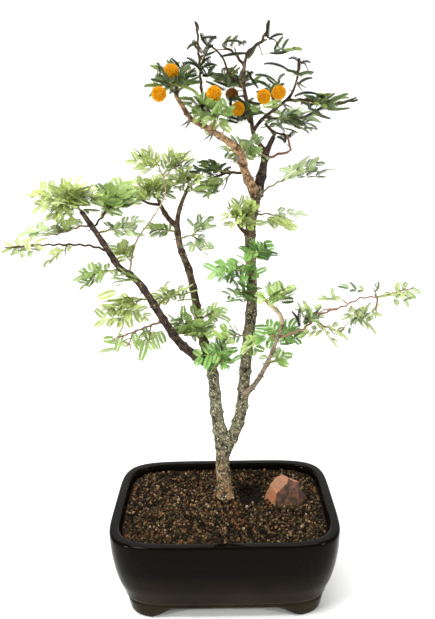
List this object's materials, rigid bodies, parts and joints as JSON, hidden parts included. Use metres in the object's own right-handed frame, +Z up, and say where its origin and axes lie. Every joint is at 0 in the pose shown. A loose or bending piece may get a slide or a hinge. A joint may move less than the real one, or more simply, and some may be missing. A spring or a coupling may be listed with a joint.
{
  "type": "potted thorny acacia bonsai",
  "caption": "Small thorny bonsai with forked stems, feathery twice-cut leaves and round orange flower heads, in a low glazed rectangular pot with feet.",
  "frame": {"origin": "on the table, under the middle of the whole plant's box; the pot's centre lies 8 mm to +X and 1 mm to -Y of it", "axes": "+Z up from the table; +X along the pot's long side, to the right in the picture; -Y towards the camera"},
  "size_m": [0.3006, 0.1524, 0.4842],
  "materials": {
    "glaze": "gloss",
    "grit": "matte",
    "rock": "matte",
    "bark": "matte",
    "dark_bark": "matte",
    "tan_bark": "matte",
    "yellow_leaf": "matte",
    "green_leaf": "matte",
    "dark_leaf": "matte",
    "flower": "matte"
  },
  "bodies": {
    "root": {"pot": "glaze", "soil": "grit", "stone": "rock", "trunk": "bark", "left_stem": "bark", "right_stem": "bark", "left_bough": "dark_bark", "middle_bough": "dark_bark", "middle_left_arm": "dark_bark", "middle_right_arm": "dark_bark", "right_bough": "dark_bark", "crown_left_arm": "tan_bark", "crown_right_arm": "dark_bark", "crown_leader": "dark_bark", "crown_right_shoot": "dark_bark", "far_left_shoot": "yellow_leaf", "left_side_spray": "yellow_leaf", "canopy_west": "yellow_leaf", "canopy_middle": "yellow_leaf", "canopy_east": "yellow_leaf", "fork_leaf": "yellow_leaf", "west_hanging": "green_leaf", "knuckle_spray": "green_leaf", "lower_west": "yellow_leaf", "lower_middle": "green_leaf", "hanging_row": "green_leaf", "pale_shoot": "yellow_leaf", "inner_low": "green_leaf", "inner_east": "green_leaf", "knee_spray": "green_leaf", "middle_side": "green_leaf", "middle_west_leaf": "green_leaf", "top_middle": "yellow_leaf", "bridge_spray": "dark_leaf", "crown_west": "dark_leaf", "crown_spire": "dark_leaf", "crown_middle": "dark_leaf", "crown_low": "dark_leaf", "crown_heart": "dark_leaf", "crown_back": "dark_leaf", "crown_tip": "dark_leaf", "crown_tip_west": "dark_leaf", "crown_east_top": "dark_leaf", "crown_flowers": "dark_leaf", "crown_east": "dark_leaf", "crown_far_east": "dark_leaf", "elbow_twig": "dark_leaf", "east_leaf": "dark_leaf", "stem_yellow": "yellow_leaf", "stem_east": "yellow_leaf", "stem_green": "green_leaf", "stem_low_green": "green_leaf", "right_bough_top": "green_leaf", "right_shoot": "green_leaf", "right_knot": "green_leaf", "right_low_leaf": "green_leaf", "stem_west_leaf": "green_leaf"}
  },
  "joints": []
}
